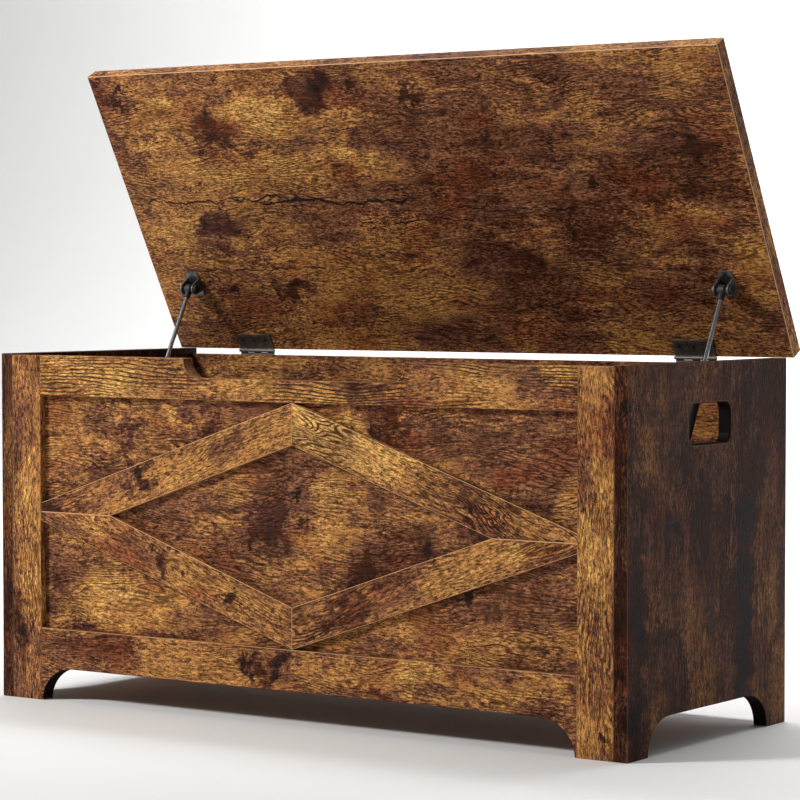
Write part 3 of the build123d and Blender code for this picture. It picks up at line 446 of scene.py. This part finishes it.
def wood(
    name,
    start,
    turn,
    size,
    seed,
    ochre=0.5,
    stain=0.5,
    rings=0.6,
    light=(),
    dark=(),
    split=(),
    bend=0.085,
    pale_edge=0.15,
    depth=1.0,
    painted_cuts=False,
):
    """The wood print on one board, which starts at that corner and is that long and high.

    A painted shade factor under 1 darkens the whole board as painted shade, its blue and green a little more than
    its red.
    """
    material = bpy.data.materials.new(name)
    material.use_nodes = True
    tree = material.node_tree
    recipe = Recipe(tree)
    surface = tree.nodes["Principled BSDF"]
    lines = tree.nodes.new("ShaderNodeGroup")
    lines.node_tree = grain_directions
    recipe.put(lines.inputs["Turn"], turn)
    recipe.put(lines.inputs["Start"], start)
    place = lines.outputs["Place"]
    printed = tree.nodes.new("ShaderNodeGroup")
    printed.node_tree = wood_print
    sheet_start = (seed * 1.37, seed * 0.71, seed * 0.39)
    recipe.put(printed.inputs["Place"], recipe.vector("ADD", place, sheet_start))
    recipe.put(printed.inputs["Ochre"], ochre)
    recipe.put(printed.inputs["Stain"], stain)
    recipe.put(printed.inputs["Rings"], rings)
    recipe.put(printed.inputs["Bend"], bend)
    ragged = recipe.add(
        "ShaderNodeTexNoise",
        "Color",
        Vector=place,
        Scale=23.0,
        Detail=7.0,
        Roughness=0.68,
    )
    ragged = recipe.vector("SUBTRACT", ragged, (0.5, 0.5, 0.5))
    ragged = recipe.vector("ADD", place, recipe.vector("MULTIPLY", ragged, (0.24, 0.14, 0.0)))
    for socket, spots in (("Light Patch", light), ("Dark Patch", dark)):
        recipe.put(printed.inputs[socket], patches(recipe, ragged, spots, size))
    colour = printed.outputs["Colour"]
    height = printed.outputs["Height"]
    if split:
        crack = cracks(recipe, place, split, size)
        colour = recipe.mix(recipe.math("MULTIPLY", crack, 0.92), colour, NEAR_BLACK)
        height = recipe.math("MULTIPLY_ADD", crack, -2.0, height)
    # Painted shade: a factor under 1 darkens the board's colour to stand in for the shade it falls into.
    if depth < 1.0:
        colour = recipe.mix(1.0, colour, (depth, depth * 0.94, depth * 0.9, 1.0), "MULTIPLY")
    # Bevels get a pale line. It is partly print worn through and partly a painted highlight for the light catching
    # the edges.
    edge_wear_and_highlight = recipe.math("MULTIPLY", lines.outputs["Bevel"], pale_edge)
    colour = recipe.mix(edge_wear_and_highlight, colour, WORN_EDGE_AND_HIGHLIGHT)
    # Sawn edges inside the outline, in the arches and hand holes, are turned near-black.
    if painted_cuts:
        cut = inner_cut(recipe, lines.outputs["Board Place"], lines.outputs["Edge"], size)
        colour = recipe.mix(cut, colour, NEAR_BLACK)
    bump = tree.nodes.new("ShaderNodeBump")
    bump.inputs["Strength"].default_value = 0.6
    bump.inputs["Distance"].default_value = 0.0005
    recipe.put(bump.inputs["Height"], height)
    recipe.put(surface.inputs["Base Color"], colour)
    recipe.put(surface.inputs["Roughness"], printed.outputs["Roughness"])
    recipe.put(surface.inputs["Normal"], bump.outputs["Normal"])
    surface.inputs["Specular IOR Level"].default_value = 0.07
    return material


def dress(node, material):
    """Gives a node of the frame one material all over."""
    nodes[node].data.materials[0] = material


# %% [markdown]
# ## The lid
#
# The lid is the largest board, and its underside is what shows while it stands open. It
# is pale and ochre at the left, with a few near-black stains along its front edge, and
# redder and darker to the right. Its places are counted from the hinge line, so a share
# of 0 is at the hinges and 1 is at the front edge.

# %% Lid
hinge_line = Vector(lid_joint["pos_m"])
lid_low, lid_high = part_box("lid_board")
lid_width = lid_high.x - lid_low.x
lid_depth = 0.434
lid_wood = wood(
    "lid_wood_print",
    (lid_low.x, hinge_line.y, hinge_line.z),
    ON_LID,
    (lid_width, -lid_depth),
    seed=3.0,
    ochre=0.42,
    stain=0.4,
    rings=0.75,
    light=[
        (0.10, 0.84, 0.09, 0.10, 0.9),
        (0.27, 0.84, 0.07, 0.09, 1.0),
        (0.20, 0.66, 0.24, 0.07, 0.8),
        (0.19, 0.42, 0.03, 0.07, 0.9),
        (0.06, 0.44, 0.05, 0.10, 0.5),
        (0.48, 0.72, 0.05, 0.10, 0.3),
        (0.78, 0.85, 0.04, 0.06, 0.5),
        (0.62, 0.42, 0.05, 0.04, 0.6),
        (0.86, 0.34, 0.05, 0.04, 0.6),
        (0.95, 0.28, 0.05, 0.20, 0.5),
    ],
    dark=[
        (0.03, 0.95, 0.02, 0.05, 1.0),
        (0.20, 0.78, 0.05, 0.08, 0.8),
        (0.37, 0.93, 0.07, 0.07, 1.0),
        (0.44, 0.76, 0.06, 0.07, 0.8),
        (0.14, 0.46, 0.06, 0.05, 0.9),
        (0.24, 0.22, 0.03, 0.06, 1.0),
        (0.12, 0.20, 0.02, 0.05, 1.0),
        (0.53, 0.90, 0.02, 0.05, 1.0),
        (0.72, 0.46, 0.02, 0.04, 1.0),
        (0.66, 0.62, 0.22, 0.40, 0.35),
        (0.90, 0.62, 0.10, 0.16, 0.5),
    ],
    pale_edge=0.8,
    split=[
        (0.01, 0.30, 0.55, 0.0021),
        (0.22, 0.50, 0.54, 0.0034),
        (0.30, 0.60, 0.47, 0.0014),
        (0.50, 0.78, 0.50, 0.0015),
        (0.05, 0.34, 0.30, 0.0011),
    ],
)
dress("lid_board", lid_wood)
print("lid:", round(lid_width, 4), "by", lid_depth)

# %% [markdown]
# ## The front frame and its panel
#
# The rails' grain runs across the front, and the stiles' grain runs up it, as in any
# framed front. The top rail is the palest board, with close straight lines. The panel
# behind the diamond has the strongest figure: upright smudges on a warm brown ground.

# %% Rails, stiles and panel
top_low, top_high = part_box("front_top_rail")
dress(
    "front_top_rail",
    wood(
        "top_rail_print",
        top_low,
        ACROSS_FRONT,
        (top_high.x - top_low.x, top_high.z - top_low.z),
        seed=11.0,
        ochre=0.72,
        stain=0.2,
        rings=1.0,
        bend=0.03,
        light=[(0.12, 0.5, 0.12, 0.6, 0.6), (0.42, 0.2, 0.12, 0.3, 0.3)],
        dark=[(0.62, 0.3, 0.03, 0.5, 0.7), (0.93, 0.4, 0.03, 0.4, 0.5)],
    ),
)
low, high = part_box("front_bottom_rail")
dress(
    "front_bottom_rail",
    wood(
        "bottom_rail_print",
        low,
        ACROSS_FRONT,
        (high.x - low.x, high.z - low.z),
        seed=17.0,
        ochre=0.42,
        stain=0.35,
        rings=0.7,
        pale_edge=0.6,
        light=[(0.70, 0.75, 0.2, 0.2, 0.9), (0.93, 0.8, 0.08, 0.25, 0.7)],
        dark=[(0.12, 0.7, 0.14, 0.4, 0.35), (0.46, 0.75, 0.06, 0.2, 1.0)],
        painted_cuts=True,
    ),
)
stile_looks = {
    "left_front_stile": dict(
        seed=23.0,
        ochre=0.46,
        light=[(0.62, 0.6, 0.08, 0.5, 0.8), (0.32, 0.8, 0.1, 0.3, 0.6)],
        dark=[(0.24, 0.3, 0.1, 0.5, 0.7)],
    ),
    "right_front_stile": dict(
        seed=29.0,
        ochre=0.42,
        light=[(0.5, 0.2, 0.12, 0.5, 0.9), (0.3, 0.2, 0.08, 0.4, 0.6)],
        dark=[(0.86, 0.8, 0.08, 0.3, 0.6)],
    ),
}
for node, look in stile_looks.items():
    low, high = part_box(node)
    size = (high.z - low.z, high.x - low.x)
    dress(node, wood(node + "_print", low, UP_FRONT, size, stain=0.35, rings=0.7, **look))
low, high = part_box("front_panel")
dress(
    "front_panel",
    wood(
        "front_panel_print",
        low,
        ACROSS_FRONT,
        (high.x - low.x, high.z - low.z),
        seed=5.0,
        ochre=0.45,
        stain=0.55,
        rings=0.8,
        light=[
            (0.06, 0.75, 0.05, 0.25, 0.5),
            (0.16, 0.16, 0.14, 0.12, 0.7),
            (0.36, 0.52, 0.04, 0.05, 0.6),
            (0.56, 0.55, 0.06, 0.15, 0.7),
            (0.60, 0.90, 0.04, 0.06, 0.9),
            (0.27, 0.93, 0.03, 0.05, 0.8),
        ],
        dark=[
            (0.17, 0.80, 0.02, 0.15, 0.7),
            (0.34, 0.85, 0.04, 0.10, 0.8),
            (0.46, 0.50, 0.04, 0.14, 0.8),
            (0.66, 0.86, 0.03, 0.08, 0.9),
            (0.62, 0.30, 0.06, 0.08, 0.9),
            (0.20, 0.33, 0.03, 0.06, 1.0),
            (0.82, 0.35, 0.16, 0.20, 0.4),
        ],
    ),
)
print("front dressed")

# %% [markdown]
# ## The diamond's battens
#
# Each batten is cut from its own strip of print, with the grain along its slope, so all
# four meet at mitres where the figure changes at once. The upper right one has the bold
# wavy figure of a board cut near a knot.

# %% Battens
cosine, sine = math.cos(batten_slope), math.sin(batten_slope)
batten_front = batten_low.y
batten_starts = {
    "upper_left_batten": (1, -diamond_half_width, batten_end_half),
    "upper_right_batten": (-1, 0.0, diamond_half_height),
    "lower_left_batten": (-1, -diamond_half_width, -batten_end_half),
    "lower_right_batten": (1, 0.0, -diamond_half_height),
}
batten_looks = {
    "upper_left_batten": dict(
        seed=31.0,
        ochre=0.6,
        dark=[(0.4, 0.6, 0.05, 0.5, 0.9), (0.02, 0.5, 0.08, 0.8, 0.9), (0.75, 0.7, 0.1, 0.4, 0.5)],
    ),
    "upper_right_batten": dict(
        seed=37.0,
        ochre=0.85,
        rings=1.0,
        bend=0.14,
        light=[(0.2, 0.5, 0.2, 1.0, 0.8)],
        dark=[(0.72, 0.5, 0.1, 0.8, 0.6)],
    ),
    "lower_left_batten": dict(
        seed=41.0,
        ochre=0.46,
        dark=[(0.5, 0.5, 0.04, 0.5, 0.9)],
        light=[(0.12, 0.6, 0.12, 0.5, 0.5)],
    ),
    "lower_right_batten": dict(
        seed=43.0,
        ochre=0.48,
        rings=0.9,
        light=[(0.6, 0.4, 0.12, 0.5, 0.8), (0.87, 0.5, 0.04, 0.5, 0.9)],
        dark=[(0.2, 0.5, 0.1, 0.6, 0.7)],
    ),
}
for node, look in batten_looks.items():
    way, x, z = batten_starts[node]
    down = batten_width if node.startswith("upper") else 0.0
    start = (x + way * sine * down, batten_front, diamond_middle + z - cosine * down)
    turn = (RIGHT_ANGLE, -way * batten_slope, 0.0)
    size = (batten_length, batten_width)
    dress(node, wood(node + "_print", start, turn, size, stain=0.4, pale_edge=0.85, **look))
print("battens dressed:", len(batten_looks))

# %% [markdown]
# ## The sides, the back and the floor
#
# The sides' grain runs up them, from the arched feet to the top edge. Their print is dark,
# with long near-black bands, and their colour is darkened again to about half as painted
# shade, because the right-hand side is turned away from the key light. The left side is
# matched to it. The back and the floor are the same board, seen only with the lid up or
# from behind.

# %% Sides, back and floor
side_looks = {
    "left_side_panel": dict(seed=47.0, ochre=0.15, dark=[(0.5, 0.7, 0.6, 0.05, 0.8)]),
    "right_side_panel": dict(
        seed=53.0,
        ochre=0.05,
        light=[(0.80, 0.10, 0.10, 0.06, 0.7), (0.35, 0.92, 0.12, 0.05, 0.7)],
        dark=[
            (0.45, 0.72, 0.50, 0.07, 0.9),
            (0.30, 0.05, 0.30, 0.06, 0.8),
            (0.6, 0.45, 0.12, 0.06, 0.6),
        ],
    ),
}
for node, look in side_looks.items():
    low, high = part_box(node)
    size = (high.z - low.z, high.y - low.y)
    # The sides' colour is darkened to about half as painted shade.
    look.update(stain=0.75, rings=0.8, depth=0.5, painted_cuts=True)
    dress(node, wood(node + "_print", low, UP_SIDE, size, **look))
low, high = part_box("back_panel")
size = (high.x - low.x, high.z - low.z)
dress("back_panel", wood("back_panel_print", low, ACROSS_FRONT, size, seed=59.0, ochre=0.35))
for node, seed in (("floor_panel", 61.0), ("floor_batten", 67.0)):
    low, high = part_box(node)
    size = (high.x - low.x, high.y - low.y)
    dress(node, wood(node + "_print", low, FLAT, size, seed=seed, ochre=0.5))
print("sides, back and floor dressed")

# %% [markdown]
# ## Painted and plated metal
#
# The hinge leaves, brackets and clevises are pressed steel under dark paint. Paint on
# pressed steel has a faint orange-peel skin and wears to bare metal at the corners. The
# stays' rods are hard-chromed, and a little dark with oil. One recipe makes them all, with
# noise for the mottled tone and the skin, and Pointiness to find the corners.

# %% Metal and plastic recipes
def part_material(name, base, pale_edge, metallic, roughness, grain_size, bump_height, coat):
    """A finish with a mottled tone, wear on its corners, and a fine skin."""
    material = bpy.data.materials.new(name)
    material.use_nodes = True
    tree = material.node_tree
    recipe = Recipe(tree)
    surface = tree.nodes["Principled BSDF"]
    place = recipe.add("ShaderNodeTexCoord", "Object")
    mottle = recipe.noise(place, 0.006, 4.0, 0.6)
    skin = recipe.noise(place, grain_size, 3.0, 0.5)
    pointed = recipe.add("ShaderNodeNewGeometry", "Pointiness")
    corner = recipe.ramp(recipe.math("MULTIPLY_ADD", mottle, 0.04, pointed), 0.54, 0.6, 0.0, 0.5)
    paler = tuple(min(1.0, share * 1.35) for share in base[:3]) + (1.0,)
    colour = recipe.mix(recipe.ramp(mottle, 0.35, 0.7), base, paler)
    colour = recipe.mix(corner, colour, pale_edge)
    recipe.put(surface.inputs["Base Color"], colour)
    rough = recipe.math("MULTIPLY_ADD", mottle, 0.16, roughness - 0.08)
    rough = recipe.math("MULTIPLY_ADD", skin, 0.08, rough)
    recipe.put(surface.inputs["Roughness"], rough)
    bump = tree.nodes.new("ShaderNodeBump")
    bump.inputs["Strength"].default_value = 0.4
    bump.inputs["Distance"].default_value = bump_height
    recipe.put(bump.inputs["Height"], skin)
    recipe.put(surface.inputs["Normal"], bump.outputs["Normal"])
    surface.inputs["Metallic"].default_value = metallic
    surface.inputs["Coat Weight"].default_value = coat
    return material


BLACK_PAINT = shade(26, 25, 25)
BARE_STEEL = shade(132, 130, 128)
TUBE_BLACK = shade(20, 20, 21)
TUBE_WORN = shade(70, 70, 70)
CHROME = shade(150, 150, 153)
CHROME_WORN = shade(215, 215, 215)
NYLON = shade(24, 24, 24)
NYLON_WORN = shade(60, 60, 60)
ZINC_PLATE = shade(168, 168, 162)
ZINC_WORN = shade(200, 200, 196)
BLACK_ZINC = shade(60, 57, 54)
BLACK_ZINC_WORN = shade(120, 118, 112)
CAST_ZINC = shade(150, 150, 146)
CAST_ZINC_WORN = shade(190, 190, 186)
BEECH = shade(196, 164, 122)
BEECH_WORN = shade(214, 186, 148)
# Slot: material name, colour, worn colour, metallic, roughness, grain size, bump, coat
fittings = {
    "hinge_metal": ("bronze_paint", shade(48, 38, 32), BARE_STEEL, 0.35, 0.42, 0.0006, 0.00004, 0.0),
    "bracket_metal": ("black_paint", BLACK_PAINT, BARE_STEEL, 0.2, 0.45, 0.0006, 0.00004, 0.0),
    "stay_tube_metal": ("black_gloss", TUBE_BLACK, TUBE_WORN, 0.1, 0.3, 0.001, 0.00003, 0.4),
    "stay_rod_steel": ("hard_chrome", CHROME, CHROME_WORN, 1.0, 0.16, 0.0003, 0.00001, 0.0),
    "stay_eye_plastic": ("black_nylon", NYLON, NYLON_WORN, 0.0, 0.55, 0.0004, 0.00004, 0.0),
    "pin_steel": ("zinc_plate", ZINC_PLATE, ZINC_WORN, 1.0, 0.34, 0.0004, 0.00003, 0.0),
    "screw_steel": ("black_zinc", BLACK_ZINC, BLACK_ZINC_WORN, 0.9, 0.4, 0.0004, 0.00003, 0.0),
    "cam_zinc": ("cast_zinc", CAST_ZINC, CAST_ZINC_WORN, 1.0, 0.5, 0.0005, 0.00006, 0.0),
    "dowel_wood": ("turned_beech", BEECH, BEECH_WORN, 0.0, 0.6, 0.0005, 0.00005, 0.0),
}
finishes = {slot: part_material(*values) for slot, values in fittings.items()}
dressed = 0
for subpart in frame["record"]["subparts"]:
    finish = finishes.get(subpart["material_slot"])
    if finish:
        dress(subpart["node"], finish)
        dressed += 1
print("fittings dressed:", dressed)

# %% [markdown]
# ## The studio
#
# A pale sweep stands in for a studio's paper roll: a flat floor that curves up into a
# wall, so no horizon shows. A light from high on the left does most of the work, so the
# front is bright and the right-hand side falls into shade. It is small enough to draw the
# shadows under the battens. A weaker one hangs overhead, and a third is aimed at the wall.

# %% Paper sweep
def paper_sweep(width, front, back, height, radius, steps=24):
    """A floor that curves up into a wall, as one smooth sheet."""
    profile = [(-front, 0.0)]
    for step in range(steps + 1):
        angle = step / steps * RIGHT_ANGLE
        profile.append((back + radius * math.sin(angle), radius * (1 - math.cos(angle))))
    profile.append((back + radius, height))
    points = [(x, y, z) for y, z in profile for x in (-width / 2, width / 2)]
    faces = [(2 * i, 2 * i + 1, 2 * i + 3, 2 * i + 2) for i in range(len(profile) - 1)]
    mesh = bpy.data.meshes.new("paper_sweep")
    mesh.from_pydata(points, [], faces)
    mesh.shade_smooth()
    sweep = bpy.data.objects.new("paper_sweep", mesh)
    bpy.context.scene.collection.objects.link(sweep)
    return sweep


sweep = paper_sweep(width=24.0, front=9.0, back=2.6, height=8.0, radius=2.0)
paper = bpy.data.materials.new("pale_paper")
paper.use_nodes = True
paper_surface = paper.node_tree.nodes["Principled BSDF"]
paper_recipe = Recipe(paper.node_tree)
paper_place = paper_recipe.add("ShaderNodeTexCoord", "Object")
paper_tone = paper_recipe.noise(paper_place, 0.4, 3.0)
paper_colour = paper_recipe.mix(paper_tone, (0.84, 0.84, 0.84, 1.0), (0.87, 0.87, 0.87, 1.0))
paper_recipe.put(paper_surface.inputs["Base Color"], paper_colour)
paper_surface.inputs["Roughness"].default_value = 0.9
sweep.data.materials.append(paper)
print("sweep corners:", len(sweep.data.vertices))


# %% Lights
def soft_light(name, place, target, size, power, warmth=(1.0, 1.0, 1.0)):
    """A square area light at a place, aimed at a target."""
    lamp = bpy.data.lights.new(name, "AREA")
    lamp.size = size
    lamp.energy = power
    lamp.color = warmth
    light = bpy.data.objects.new(name, lamp)
    light.location = place
    aim = Vector(target) - Vector(place)
    light.rotation_euler = aim.to_track_quat("-Z", "Y").to_euler()
    bpy.context.scene.collection.objects.link(light)
    return light


middle = (0.0, 0.0, 0.35)
soft_light("key_light", (-2.4, -3.0, 2.7), middle, 0.75, 160.0, (1.0, 0.98, 0.95))
soft_light("top_light", (0.0, 0.0, 4.2), middle, 2.5, 26.0)
soft_light("paper_light", (-0.4, 1.4, 3.6), (-0.8, 4.6, 1.0), 3.0, 260.0)
world = bpy.data.worlds.new("studio")
bpy.context.scene.world = world
world.use_nodes = True
world.node_tree.nodes["Background"].inputs["Color"].default_value = (1.0, 1.0, 1.0, 1.0)
world.node_tree.nodes["Background"].inputs["Strength"].default_value = 0.15

# %% [markdown]
# ## The camera
#
# The camera stands low and to the right of the front, three and a half metres away, with
# a long lens, so the box shows its front and its right-hand side with little distortion.

# %% Camera
camera_turn = math.radians(34.917)
camera_dip = math.radians(2.345)
camera_data = bpy.data.cameras.new("camera")
camera_data.lens = 131.14
camera_data.sensor_width = 36.0
camera = bpy.data.objects.new("camera", camera_data)
camera.location = (2.2066, -3.1290, 0.5630)
camera.rotation_euler = (RIGHT_ANGLE - camera_dip, 0.0, camera_turn)
bpy.context.scene.collection.objects.link(camera)
bpy.context.scene.camera = camera
bpy.context.scene.view_settings.view_transform = "Standard"
print("camera at", tuple(round(v, 3) for v in camera.location))
